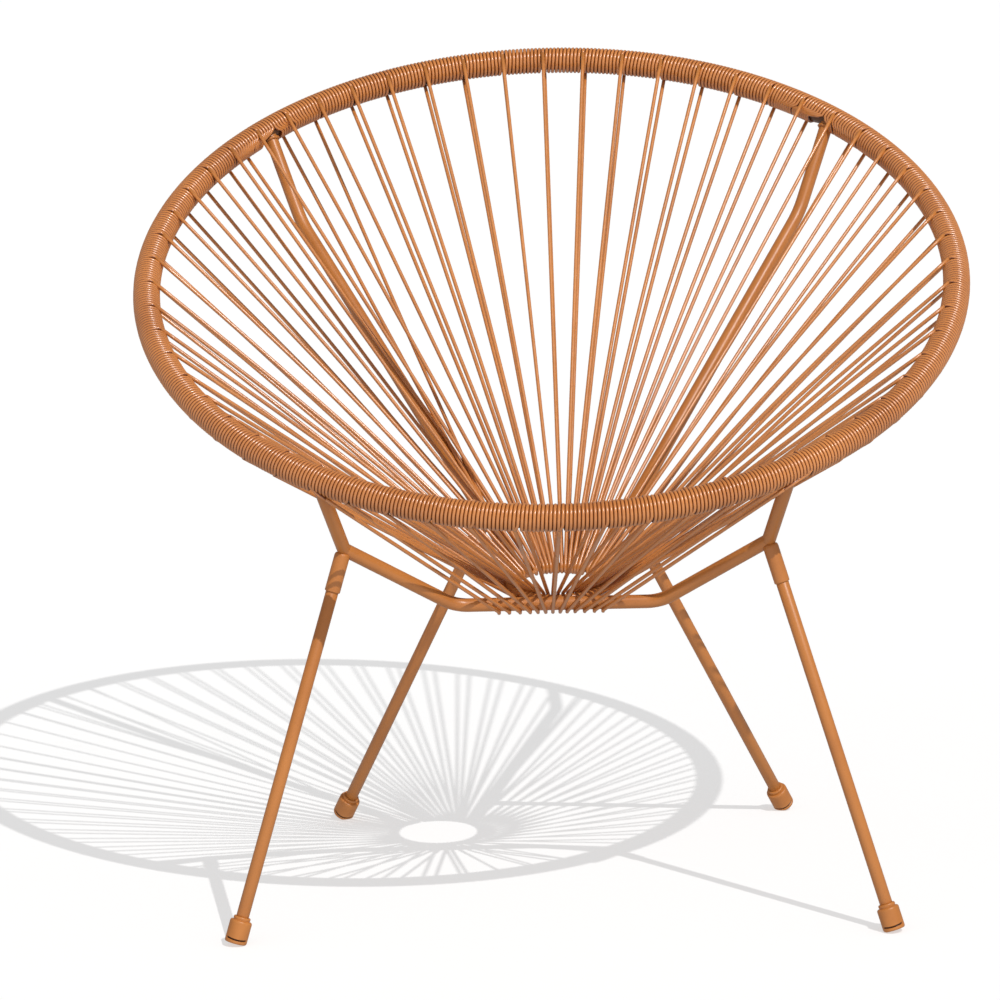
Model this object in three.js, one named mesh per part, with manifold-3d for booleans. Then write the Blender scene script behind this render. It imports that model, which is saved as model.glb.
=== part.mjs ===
// Round string lounge chair: a tilted steel rim and a small lower ring joined by
// bent support tubes, four screwed-in legs with foot caps, and a seat of taut
// cord that winds round the rim and runs down to the lower ring and back.
// Units are millimetres, +Z up, the front of the chair faces -Y.
// Origin: on the floor, below the middle of the overall box.
import * as THREE from 'three';
import { mergeVertices } from 'three/addons/utils/BufferGeometryUtils.js';
import Module from 'manifold-3d';

// ---- driving dimensions (mm, degrees) ----
const RIM_RADIUS = 387.4;             // centreline of the rim
const RIM_TUBE_R = 9.5;               // 19 mm rim tube
const RIM_HEIGHT = 575;               // rim centre above the floor
const RIM_TILT = 24.7;                // front of the rim is low
const CORD_R = 1.75;                  // 3.5 mm cord
const WRAP_R = 13.3;                  // outside of the cord winding on the rim
const LOWER_RADIUS = 46;              // centreline of the lower ring
const LOWER_TUBE_R = 3.5;             // 7 mm rod
const LOWER_Y = -96.4;               // lower ring sits forward of the rim centre
const LOWER_Z = 295.7;
const LOWER_TILT = 6.5;               // degrees, its front a little lower than its back
const LOWER_WRAP_R = 7.5;             // outside of the cord loops on the lower ring
const SUPPORT_R = 6.5;                // 13 mm support tubes
const FRONT_SUPPORT_ANGLE = 146;      // where they meet the rim, from the back
const BACK_SUPPORT_ANGLE = 46.2;
const ELBOW = [197, -217.8, 358.7];
const RUN_HALF = 96.5;                // half of the straight run past the lower ring
const RUN_Y = -152;                   // the run lies below and in front of the ring
const RUN_Z = 287.9;
const BACK_BEND_ALONG = 0.179;        // place of the back support's bend
const BACK_BEND_OUT = 26;
const BACK_END_OUT = 3.4;             // its lower end meets the outside of the ring
const BACK_LEG_AT = 0.848;            // where the back leg socket sits on it
const FRONT_FOOT = [306.6, -286.3, 0];
const BACK_FOOT = [223.8, 159.8, 0];
const LEG_R = 6;                      // 12 mm leg tubes
const LEG_BORE = 4.8;
const SOCKET_R = 7.3;
const SOCKET_BORE = 6.3;
const SOCKET_END = 41;                // socket mouth below the tube's centreline
const LEG_TOP = 23;                   // leg end below the tube's centreline
const CAP_R = 10.5;
const CAP_H = 22;
const CAP_WORN = 2.2;                 // depth of the flat under the foot cap
const TIES = 60;                      // cord crossings round the rim
const BACK_TIES = 7;                  // crossings each side of the middle at the back
const LOWER_BACK_SPAN = 33.82;        // lower-ring angle that the back crossings fill
const LOWER_SIDE_START = 38.72;       // and where the side crossings begin
const LOWER_TURN = 5.81;              // the crossings stand turned a little on the lower ring
const STRAND_LIFT = 13.5;             // strands leave the rim over its winding
const UNDER_RUN = 6;                  // front crossings that pass under the run
const GAP = 0.3;

const COLOR_CORD = 0xc4743a;
const COLOR_FRAME = 0xb8682f;

const wasm = await Module();
wasm.setup();

const V = (x, y, z) => new THREE.Vector3(x, y, z);
const rad = THREE.MathUtils.degToRad;

// ---- geometry helpers ----
function signedVolume(geometry) {
  const p = geometry.attributes.position;
  const index = geometry.index;
  const a = V(), b = V(), c = V();
  let sum = 0;
  for (let i = 0; i < index.count; i += 3) {
    a.fromBufferAttribute(p, index.getX(i));
    b.fromBufferAttribute(p, index.getX(i + 1));
    c.fromBufferAttribute(p, index.getX(i + 2));
    sum += a.dot(b.cross(c));
  }
  return sum / 6;
}

// Closed mesh with shared vertices and its faces pointing out.
function closed(source) {
  let geometry = source.clone();
  for (const name of Object.keys(geometry.attributes)) {
    if (name !== 'position') geometry.deleteAttribute(name);
  }
  geometry.clearGroups();
  geometry = mergeVertices(geometry, 1e-4);
  const index = [];
  const src = geometry.index;
  for (let i = 0; i < src.count; i += 3) {
    const [a, b, c] = [src.getX(i), src.getX(i + 1), src.getX(i + 2)];
    if (a !== b && b !== c && c !== a) index.push(a, b, c);
  }
  geometry.setIndex(index);
  if (signedVolume(geometry) < 0) {
    for (let i = 0; i < index.length; i += 3) {
      const t = index[i + 1];
      index[i + 1] = index[i + 2];
      index[i + 2] = t;
    }
    geometry.setIndex(index);
  }
  return geometry;
}

function solid(source) {
  const geometry = closed(source);
  return new wasm.Manifold(new wasm.Mesh({
    numProp: 3,
    vertProperties: new Float32Array(geometry.attributes.position.array),
    triVerts: new Uint32Array(geometry.index.array),
  }));
}

function geometryOf(manifold) {
  const mesh = manifold.getMesh();
  const n = mesh.numProp;
  const positions = new Float32Array((mesh.vertProperties.length / n) * 3);
  for (let i = 0; i < positions.length / 3; i++) {
    for (let k = 0; k < 3; k++) positions[3 * i + k] = mesh.vertProperties[n * i + k];
  }
  const geometry = new THREE.BufferGeometry();
  geometry.setAttribute('position', new THREE.BufferAttribute(positions, 3));
  geometry.setIndex(Array.from(mesh.triVerts));
  return geometry;
}

// A path whose sections stand at given stations, each square to the path there.
class StationPath extends THREE.Curve {
  constructor(stations, side = null) {
    super();
    this.stations = stations;
    this.side = side;
  }
  getPoint(t, target = V()) {
    const last = this.stations.length - 1;
    const f = Math.min(Math.max(t, 0), 1) * last;
    const i = Math.min(Math.floor(f), last - 1);
    return target.copy(this.stations[i]).lerp(this.stations[i + 1], f - i);
  }
  getPointAt(u, target) { return this.getPoint(u, target); }
  getTangent(t, target = V()) {
    const last = this.stations.length - 1;
    const i = Math.round(t * last);
    const before = this.stations[Math.max(i - 1, 0)];
    const here = this.stations[i];
    const after = this.stations[Math.min(i + 1, last)];
    const a = V().subVectors(here, before);
    const b = V().subVectors(after, here);
    if (a.lengthSq() > 0) a.normalize();
    if (b.lengthSq() > 0) b.normalize();
    return target.addVectors(a, b).normalize();
  }
  getTangentAt(u, target) { return this.getTangent(u, target); }
  computeFrenetFrames(segments, isClosed) {
    if (!this.side) return super.computeFrenetFrames(segments, isClosed);
    const tangents = [], normals = [], binormals = [];
    for (let i = 0; i <= segments; i++) {
      const tangent = this.getTangent(i / segments);
      const normal = this.side(i / segments).normalize();
      tangents.push(tangent);
      normals.push(normal);
      binormals.push(V().crossVectors(tangent, normal).normalize());
    }
    return { tangents, normals, binormals };
  }
}

function section(radius, sides, bore = 0, turn = 0) {
  const ring = (r) => Array.from({ length: sides }, (_, i) => {
    const a = turn + (2 * Math.PI * i) / sides;
    return new THREE.Vector2(r * Math.cos(a), r * Math.sin(a));
  });
  const shape = new THREE.Shape(ring(radius));
  if (bore) shape.holes.push(new THREE.Path(ring(bore).reverse()));
  return shape;
}

function sweep(stations, radius, sides, { bore = 0, side = null, turn = 0 } = {}) {
  return new THREE.ExtrudeGeometry(section(radius, sides, bore, turn), {
    steps: stations.length - 1,
    bevelEnabled: false,
    curveSegments: 1,
    extrudePath: new StationPath(stations, side),
  });
}

// Corner points joined by straights and round bends.
function bentStations(corners, bendRadius, perBend) {
  const out = [corners[0].clone()];
  for (let i = 1; i < corners.length - 1; i++) {
    const a = V().subVectors(corners[i - 1], corners[i]).normalize();
    const b = V().subVectors(corners[i + 1], corners[i]).normalize();
    const half = a.angleTo(b) / 2;
    const cut = bendRadius / Math.tan(half);
    const axis = V().addVectors(a, b).normalize();
    const centre = corners[i].clone().addScaledVector(axis, bendRadius / Math.sin(half));
    const start = corners[i].clone().addScaledVector(a, cut).sub(centre);
    const turn = V().crossVectors(start, corners[i].clone().addScaledVector(b, cut).sub(centre)).normalize();
    const sweepAngle = Math.PI - 2 * half;
    for (let k = 0; k <= perBend; k++) {
      out.push(start.clone().applyAxisAngle(turn, (sweepAngle * k) / perBend).add(centre));
    }
  }
  out.push(corners[corners.length - 1].clone());
  return out;
}

// Turn a lathe (about Y) so that its axis runs from one point towards another.
function alongAxis(geometry, from, direction) {
  const q = new THREE.Quaternion().setFromUnitVectors(V(0, 1, 0), direction.clone().normalize());
  geometry.applyQuaternion(q);
  geometry.translate(from.x, from.y, from.z);
  return geometry;
}

function lathe(profile, segments) {
  return new THREE.LatheGeometry(profile.map(([r, h]) => new THREE.Vector2(r, h)), segments);
}

// Square bar between two points, one face square to the given direction.
function bar(from, to, width, facing) {
  const span = V().subVectors(to, from);
  const g = new THREE.BoxGeometry(width, span.length(), width);
  g.translate(0, span.length() / 2, 0);
  const y = span.clone().normalize();
  const z = facing.clone().addScaledVector(y, -facing.dot(y)).normalize();
  const x = V().crossVectors(y, z);
  g.applyMatrix4(new THREE.Matrix4().makeBasis(x, y, z));
  g.translate(from.x, from.y, from.z);
  return g;
}

// ---- the two rings ----
const tilt = rad(RIM_TILT);
const RIM_BACK = V(0, Math.cos(tilt), Math.sin(tilt));
const RIM_UP = V(0, -Math.sin(tilt), Math.cos(tilt));
const rimPoint = (deg, radius = RIM_RADIUS) => V(0, 0, RIM_HEIGHT)
  .addScaledVector(V(1, 0, 0), radius * Math.sin(rad(deg)))
  .addScaledVector(RIM_BACK, radius * Math.cos(rad(deg)));
const rimTangent = (deg) => V(Math.cos(rad(deg)), 0, 0).addScaledVector(RIM_BACK, -Math.sin(rad(deg)));
const rimOutward = (deg) => V(Math.sin(rad(deg)), 0, 0).addScaledVector(RIM_BACK, Math.cos(rad(deg)));
const lowerPoint = (deg, radius = LOWER_RADIUS) => V(
  radius * Math.sin(rad(deg)), LOWER_Y + radius * Math.cos(rad(deg)) * Math.cos(rad(LOWER_TILT)),
  LOWER_Z + radius * Math.cos(rad(deg)) * Math.sin(rad(LOWER_TILT)));
const lowerTangent = (deg) => V(Math.cos(rad(deg)), -Math.sin(rad(deg)) * Math.cos(rad(LOWER_TILT)),
  -Math.sin(rad(deg)) * Math.sin(rad(LOWER_TILT)));

function rimTorus(radius, sides, steps) {
  const profile = [];
  for (let i = 0; i <= sides; i++) {
    const a = (2 * Math.PI * i) / sides;
    profile.push([RIM_RADIUS + radius * Math.cos(a), radius * Math.sin(a)]);
  }
  const g = lathe(profile, steps);
  const m = new THREE.Matrix4().makeBasis(V(1, 0, 0), RIM_UP.clone().negate(), RIM_BACK);
  g.applyMatrix4(m);
  g.translate(0, 0, RIM_HEIGHT);
  return g;
}

function lowerTorus(radius, sides, steps) {
  const profile = [];
  for (let i = 0; i <= sides; i++) {
    const a = (2 * Math.PI * i) / sides;
    profile.push([LOWER_RADIUS + radius * Math.cos(a), radius * Math.sin(a)]);
  }
  const g = lathe(profile, steps);
  g.rotateX(Math.PI / 2);
  g.rotateX(rad(LOWER_TILT));
  g.translate(0, LOWER_Y, LOWER_Z);
  return g;
}

// ---- support tubes ----
const mirror = (v) => V(-v.x, v.y, v.z);
const frontEnd = rimPoint(FRONT_SUPPORT_ANGLE);
const elbow = V(...ELBOW);
const runEnd = V(RUN_HALF, RUN_Y, RUN_Z);
const frontStations = bentStations(
  [mirror(frontEnd), mirror(elbow), mirror(runEnd), runEnd, elbow, frontEnd], 32, 4);

const backTop = rimPoint(BACK_SUPPORT_ANGLE);
const backFoot = lowerPoint(BACK_SUPPORT_ANGLE);
const chord = V().subVectors(backFoot, backTop);
const outward = V(chord.x, chord.y, 0).negate().normalize();
const chordDir = chord.clone().normalize();
const backOut = outward.clone().addScaledVector(chordDir, -outward.dot(chordDir)).normalize();
const backBend = backTop.clone().addScaledVector(chord, BACK_BEND_ALONG).addScaledVector(backOut, BACK_BEND_OUT);
const backRise = V().subVectors(backBend, backFoot).normalize();
const backEnd = backFoot.clone().addScaledVector(backRise, 3).addScaledVector(backOut, BACK_END_OUT);
const backStations = bentStations([backTop, backBend, backEnd], 90, 4);
const backPastEnd = backEnd.clone().addScaledVector(V().subVectors(backBend, backEnd).normalize(), -GAP);
const backStationsLong = bentStations([backTop, backBend, backPastEnd], 90, 4);
const backLegTop = backBend.clone().lerp(backEnd, BACK_LEG_AT);

// ---- build ----
const chair = new THREE.Group();
function add(name, geometry, color, roughness, metalness, parent = chair) {
  const material = new THREE.MeshStandardMaterial({ color, roughness, metalness });
  const mesh = new THREE.Mesh(geometry, material);
  mesh.name = name;
  parent.add(mesh);
  return mesh;
}
const frameMesh = (name, g, parent) => add(name, closed(g), COLOR_FRAME, 0.45, 0.1, parent);
const cordMesh = (name, g, parent) => add(name, closed(g), COLOR_CORD, 0.35, 0.0, parent);

const frameGroup = new THREE.Group();
const seatGroup = new THREE.Group();
chair.add(frameGroup, seatGroup);

frameMesh('rim_ring', rimTorus(RIM_TUBE_R, 8, 64), frameGroup);
frameMesh('lower_ring', lowerTorus(LOWER_TUBE_R, 8, 32), frameGroup);

const rimClear = solid(rimTorus(RIM_TUBE_R + GAP, 8, 64));
const lowerClear = solid(lowerTorus(LOWER_TUBE_R + GAP, 8, 32));

const frontSupport = solid(sweep(frontStations, SUPPORT_R, 10)).subtract(rimClear);
frameMesh('front_support', geometryOf(frontSupport), frameGroup);
const frontClear = solid(sweep(frontStations, SUPPORT_R + GAP, 10));

const backClear = {};
for (const [label, flip] of [['right', 1], ['left', -1]]) {
  const stations = backStations.map((p) => V(flip * p.x, p.y, p.z));
  const body = solid(sweep(stations, SUPPORT_R, 10)).subtract(rimClear).subtract(lowerClear);
  frameMesh(`back_support_${label}`, geometryOf(body), frameGroup);
  const longer = backStationsLong.map((p) => V(flip * p.x, p.y, p.z));
  backClear[label] = solid(sweep(longer, SUPPORT_R + GAP, 10));
}

// ---- sockets, nuts, studs, legs and foot caps ----
const floorCut = solid(new THREE.BoxGeometry(1200, 1200, 60).translate(0, 0, -30));
for (const [row, flip] of [['front_right', 1], ['front_left', -1], ['back_right', 1], ['back_left', -1]]) {
  const front = row.startsWith('front');
  const top = front ? elbow.clone() : backLegTop.clone();
  const foot = V(...(front ? FRONT_FOOT : BACK_FOOT));
  top.x *= flip;
  foot.x *= flip;
  const down = V().subVectors(foot, top).normalize();
  const length = top.distanceTo(foot);
  const lean = Math.acos(-down.z);
  const capBase = length - (CAP_R * Math.sin(lean) - CAP_WORN) / Math.cos(lean);
  const legEnd = capBase - 5;
  const tubeClear = front ? frontClear : backClear[flip > 0 ? 'right' : 'left'];

  const socket = solid(alongAxis(lathe([
    [0, 3], [SOCKET_R, 3], [SOCKET_R, SOCKET_END], [SOCKET_BORE, SOCKET_END],
    [SOCKET_BORE, 11], [0, 11],
  ], 12), top, down)).subtract(tubeClear);
  frameMesh(`leg_socket_${row}`, geometryOf(socket), frameGroup);

  frameMesh(`socket_nut_${row}`, alongAxis(lathe([
    [3.4, 11.3], [5.9, 11.3], [5.9, 19.3], [3.4, 19.3], [3.4, 11.3],
  ], 12), top, down), frameGroup);

  frameMesh(`leg_stud_${row}`, alongAxis(lathe([
    [0, 12], [3, 12], [3, LEG_TOP + 1], [4.4, LEG_TOP + 1], [4.4, LEG_TOP + 15], [0, LEG_TOP + 15],
  ], 10), top, down), frameGroup);

  frameMesh(`leg_${row}`, alongAxis(lathe([
    [LEG_BORE, LEG_TOP], [LEG_R, LEG_TOP], [LEG_R, legEnd], [LEG_BORE, legEnd], [LEG_BORE, LEG_TOP],
  ], 12), top, down), frameGroup);

  const capTop = capBase - CAP_H;
  const cap = solid(alongAxis(lathe([
    [LEG_R + GAP, capTop - 3.5], [8, capTop - 3.5], [8, capTop],
    [9.4, capTop], [CAP_R, capTop + 1.2], [CAP_R, capBase], [0, capBase],
    [0, legEnd + GAP], [LEG_R + GAP, legEnd + GAP], [LEG_R + GAP, capTop - 3.5],
  ], 16), top, down)).subtract(floorCut);
  frameMesh(`foot_cap_${row}`, geometryOf(cap), frameGroup);
}

// ---- cord wound round the rim, one winding between each pair of supports ----
const halfSlit = (GAP / 2 / RIM_RADIUS) * (180 / Math.PI);
const windings = [
  ['rim_winding_back', -BACK_SUPPORT_ANGLE, BACK_SUPPORT_ANGLE, 16],
  ['rim_winding_right', BACK_SUPPORT_ANGLE, FRONT_SUPPORT_ANGLE, 18],
  ['rim_winding_front', FRONT_SUPPORT_ANGLE, 360 - FRONT_SUPPORT_ANGLE, 12],
  ['rim_winding_left', 360 - FRONT_SUPPORT_ANGLE, 360 - BACK_SUPPORT_ANGLE, 18],
];
for (const [name, from, to, steps] of windings) {
  const angle = (i) => from + halfSlit + ((to - from - 2 * halfSlit) * i) / steps;
  const stations = Array.from({ length: steps + 1 }, (_, i) => rimPoint(angle(i)));
  const shell = solid(sweep(stations, WRAP_R, 10, {
    bore: (RIM_TUBE_R + GAP) / Math.cos(Math.PI / 10) + 0.1,
    side: (t) => rimOutward(angle(t * steps)),
  })).subtract(frontClear).subtract(backClear.right).subtract(backClear.left);
  cordMesh(name, geometryOf(shell), seatGroup);
}

const STRAND_WIDTH = CORD_R * Math.sqrt(Math.PI);   // same area as the round cord

// ---- seat cord: taut strands from the rim to the lower ring and back ----
// Crossings are counted from the middle of the back, up to 30 on each side.
const signed = (k) => (k > TIES / 2 ? k - TIES : k);

// The outer strand nearest each front support leaves the rim on its far side.
function rimAngle(k, side = 1) {
  const m = signed(k);
  if (side < 0 && Math.abs(m) === TIES / 2 - UNDER_RUN) return Math.sign(m) * (FRONT_SUPPORT_ANGLE + 2.4);
  return (360 * m) / TIES;
}

// How far along the rim a strand stands from its even place, in mm.
function rimShift(k, side) {
  const m = signed(k);
  if (side < 0 && Math.abs(m) === TIES / 2 - UNDER_RUN) return 0;
  const spread = Math.abs(m) <= 22 ? 0.44 * m : 0.44 * Math.sign(m) * 22 * (30 - Math.abs(m)) / 8;
  const beside = side < 0 && m === 8 ? 18 : side < 0 && m === -8 ? -14 : 0;
  return (side > 0 ? -4.5 : -3.42) + spread + beside;
}

// Outer strands beside the back supports are pushed round the lower ring.
const PUSHED = {
  3: 19.9, 4: 22.8, 5: 25, 6: 27.2, 7: 29.4,
  8: 57.6, 9: 59.6, 10: 61.8, 11: 65,
  '-8': -57.6, '-9': -59.2, '-10': -60.8, '-11': -62.3, '-12': -63.7, '-13': -65.2,
};
function lowerAngle(k, side = 1) {
  const m = signed(k);
  if (side < 0 && PUSHED[m] !== undefined) return PUSHED[m];
  const a = Math.abs(m);
  const even = a <= BACK_TIES ? (LOWER_BACK_SPAN * a) / BACK_TIES
    : LOWER_SIDE_START + ((180 - LOWER_SIDE_START) * (a - BACK_TIES - 1)) / (TIES / 2 - BACK_TIES - 1);
  return Math.sign(m) * even + LOWER_TURN;
}
const LOWER_STRAND = LOWER_TUBE_R + GAP + STRAND_WIDTH / 2 + 0.15;

// Straight line touching both tubes on the same side: +1 inside the seat, -1 outside.
function tangentLine(k, side) {
  const a = rimPoint(rimAngle(k, side));
  const b = lowerPoint(lowerAngle(k, side));
  const ta = rimTangent(rimAngle(k, side));
  const tb = lowerTangent(lowerAngle(k, side));
  let p = a.clone(), q = b.clone();
  for (let pass = 0; pass < 4; pass++) {
    const d = V().subVectors(q, p).normalize();
    const ua = V().crossVectors(ta, d).normalize();
    const ub = V().crossVectors(tb, d).normalize();
    if (ua.z * side < 0) ua.negate();
    if (ub.z * side < 0) ub.negate();
    p = a.clone().addScaledVector(ua, STRAND_LIFT).addScaledVector(ta, rimShift(k, side));
    q = b.clone().addScaledVector(ub, LOWER_STRAND);
  }
  return [p, q];
}

// The same outer line where the cord passes round below the front run first,
// and reaches the lower ring from its hole.
function underRunLine(k) {
  const [p0, q0] = tangentLine(k, -1);
  const f = (RUN_Y - p0.y) / (q0.y - p0.y);
  const centre = V(p0.x + (q0.x - p0.x) * f, RUN_Y, RUN_Z);
  const d = V().subVectors(centre, p0).normalize();
  const u = V().crossVectors(V(1, 0, 0), d).normalize();
  if (u.z > 0) u.negate();
  const reach = SUPPORT_R + GAP + CORD_R;
  const from = Math.atan2(u.z, u.y);
  const to = rad(-35);
  const line = [p0, centre.clone().addScaledVector(u, reach)];
  for (let i = 1; i <= 3; i++) {
    const a = from + ((to - from) * i) / 3;
    const r = i < 3 ? reach / Math.cos((to - from) / 6) : reach + 0.35;
    line.push(centre.clone().add(V(0, r * Math.cos(a), r * Math.sin(a))));
  }
  const at = lowerAngle(k) + (signed(k) === 25 ? 4 : 0);   // clear of the next section's loops
  line.push(lowerPoint(at, LOWER_RADIUS - 4.4).add(V(0, 0, -4.4)));
  line.push(lowerPoint(at, LOWER_RADIUS - LOWER_STRAND));
  return line;
}

const sectors = [
  ['back_left', -7, -3], ['back_middle', -2, 2], ['back_right', 3, 7],
  ['right_rear', 8, 13], ['right_middle', 14, 18], ['right_front', 19, 24],
  ['front_right', 25, 28], ['front_middle', 29, 31], ['front_left', 32, 35],
  ['left_front', 36, 41], ['left_middle', 42, 46], ['left_rear', 47, 52],
];
const STRAND_START = 10;     // clear of the winding on the rim
const LOOP_EDGE = 1;         // degrees of loop beyond a section's last strand
for (const [label, first, last] of sectors) {
  const pieces = [];
  let a0 = lowerAngle(first);
  let a1 = lowerAngle(last);
  if (a1 < a0) a1 += 360;
  a0 -= LOOP_EDGE;
  a1 += LOOP_EDGE;
  const steps = Math.max(2, Math.round((a1 - a0) / 9));
  const angle = (i) => a0 + ((a1 - a0) * i) / steps;
  pieces.push(solid(sweep(
    Array.from({ length: steps + 1 }, (_, i) => lowerPoint(angle(i))), LOWER_WRAP_R, 6,
    {
      bore: (LOWER_TUBE_R + GAP) / Math.cos(Math.PI / 6) + 0.35,
      side: (t) => V(Math.sin(rad(angle(t * steps))), Math.cos(rad(angle(t * steps))), 0),
    })));
  for (let k = first; k <= last; k++) {
    const inner = tangentLine(k, 1);
    const runK = Math.abs(((k % TIES) + TIES) % TIES - TIES / 2) <= UNDER_RUN;
    const outer = runK ? underRunLine(k) : tangentLine(k, -1);
    for (const line of [inner, outer]) {
      const d = V().subVectors(line[1], line[0]).normalize();
      const start = line[0].clone().addScaledVector(d, STRAND_START);
      const pts = [start, ...line.slice(1)];
      for (let i = 0; i + 1 < pts.length; i++) {
        const from = pts[i].clone();
        const to = pts[i + 1].clone();
        const e = V().subVectors(to, from).normalize();
        if (i > 0) from.addScaledVector(e, -CORD_R * 0.6);
        if (i + 2 < pts.length) to.addScaledVector(e, CORD_R * 0.6);
        pieces.push(solid(bar(from, to, STRAND_WIDTH, rimTangent(rimAngle(k)))));
      }
    }
  }
  let body = pieces[0];
  for (const piece of pieces.slice(1)) body = body.add(piece);
  if (label.includes('front')) body = body.subtract(frontClear).subtract(lowerClear);
  if (label === 'right_rear' || label === 'back_right') body = body.subtract(backClear.right);
  if (label === 'left_rear') body = body.subtract(backClear.left);
  cordMesh(`seat_cord_${label}`, geometryOf(body), seatGroup);
}

export default chair;
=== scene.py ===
"""Round string lounge chair on a tilted steel rim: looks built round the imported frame.

Lengths below are in millimetres in the part's own frame; meshes are made in metres.
"""

import math

import bpy
import numpy as np
from mathutils import Matrix, Vector


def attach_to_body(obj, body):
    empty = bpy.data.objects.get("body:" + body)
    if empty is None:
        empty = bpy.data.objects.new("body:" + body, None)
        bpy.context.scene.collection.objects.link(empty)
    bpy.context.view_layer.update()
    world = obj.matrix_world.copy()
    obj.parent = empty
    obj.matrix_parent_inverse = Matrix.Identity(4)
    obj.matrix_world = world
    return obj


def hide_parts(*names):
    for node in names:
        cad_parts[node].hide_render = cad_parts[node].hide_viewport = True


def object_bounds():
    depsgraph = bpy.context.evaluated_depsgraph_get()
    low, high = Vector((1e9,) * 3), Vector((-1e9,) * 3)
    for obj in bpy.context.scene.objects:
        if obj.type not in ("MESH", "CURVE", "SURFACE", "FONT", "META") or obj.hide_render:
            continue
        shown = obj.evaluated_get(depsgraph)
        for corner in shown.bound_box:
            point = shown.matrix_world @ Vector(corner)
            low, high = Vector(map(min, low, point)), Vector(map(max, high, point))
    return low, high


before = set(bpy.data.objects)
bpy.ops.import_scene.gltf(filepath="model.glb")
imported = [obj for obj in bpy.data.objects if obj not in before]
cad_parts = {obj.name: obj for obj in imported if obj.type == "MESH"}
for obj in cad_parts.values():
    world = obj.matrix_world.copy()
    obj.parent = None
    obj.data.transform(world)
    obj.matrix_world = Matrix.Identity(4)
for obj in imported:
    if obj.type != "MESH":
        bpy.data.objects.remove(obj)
cad_lo, cad_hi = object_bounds()
rng = np.random.default_rng(11)

# ---- dimensions, the same as the frame's ----
RIM_R, RIM_TUBE, RIM_H = 387.4, 9.5, 575.0
TILT = math.radians(24.7)
CORD = 1.75
WIND_R = RIM_TUBE + CORD
LIFT_IN, LIFT_OUT, LIFT_REROUTED = 12.8, 11.9, 14.4
TIES, TURNS = 60, 11
RING_R, ROD, RING_Y, RING_Z = 46.0, 3.5, -96.4, 295.7
RING_TILT = math.radians(6.5)
SUPPORT = 6.5
FRONT_AT, BACK_AT = 146.0, 46.2
ELBOW = np.array([197.0, -217.8, 358.7])
RUN_HALF, RUN_Y, RUN_Z = 96.5, -152.0, 287.9
FRONT_FOOT = np.array([306.6, -286.3, 0.0])
BACK_FOOT = np.array([223.8, 159.8, 0.0])
LEG_R, SOCKET_R, SOCKET_BORE, SOCKET_END, LEG_TOP = 6.0, 7.3, 6.3, 41.0, 23.0
CAP_R, CAP_H, CAP_WORN = 10.5, 22.0, 2.2

EX = np.array([1.0, 0.0, 0.0])
EY = np.array([0.0, 1.0, 0.0])
EZ = np.array([0.0, 0.0, 1.0])
E2 = np.array([0.0, math.cos(TILT), math.sin(TILT)])
UP = np.array([0.0, -math.sin(TILT), math.cos(TILT)])
CENTRE = np.array([0.0, 0.0, RIM_H])
RING_BACK = np.array([0.0, math.cos(RING_TILT), math.sin(RING_TILT)])
RING_UP = np.array([0.0, -math.sin(RING_TILT), math.cos(RING_TILT)])
STEP = 2 * math.pi * RIM_R / TIES


def unit(v):
    v = np.asarray(v, float)
    return v / np.maximum(np.linalg.norm(v, axis=-1, keepdims=True), 1e-12)


def smooth(x):
    x = np.clip(x, 0.0, 1.0)
    return x * x * (3 - 2 * x)


def rim_axes(s):
    a = np.asarray(s, float)[..., None] / RIM_R
    rho = np.sin(a) * EX + np.cos(a) * E2
    tan = np.cos(a) * EX - np.sin(a) * E2
    return rho, tan


def rim_at(s, theta, radius):
    """Point on the rim's tube: s along the rim, theta round it (0 outward, 90 degrees up)."""
    rho, _ = rim_axes(s)
    theta = np.asarray(theta, float)[..., None]
    radius = np.asarray(radius, float)[..., None]
    return CENTRE + RIM_R * rho + radius * (np.cos(theta) * rho + np.sin(theta) * UP)


def ring_axes(deg):
    a = math.radians(deg)
    return math.sin(a) * EX + math.cos(a) * RING_BACK, math.cos(a) * EX - math.sin(a) * RING_BACK


def ring_point(deg, radius=RING_R):
    rho, _ = ring_axes(deg)
    return np.array([0.0, RING_Y, RING_Z]) + radius * rho


BOX_LO = np.array(cad_lo) * 1000 + 0.03
BOX_HI = np.array(cad_hi) * 1000 - 0.03


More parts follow.
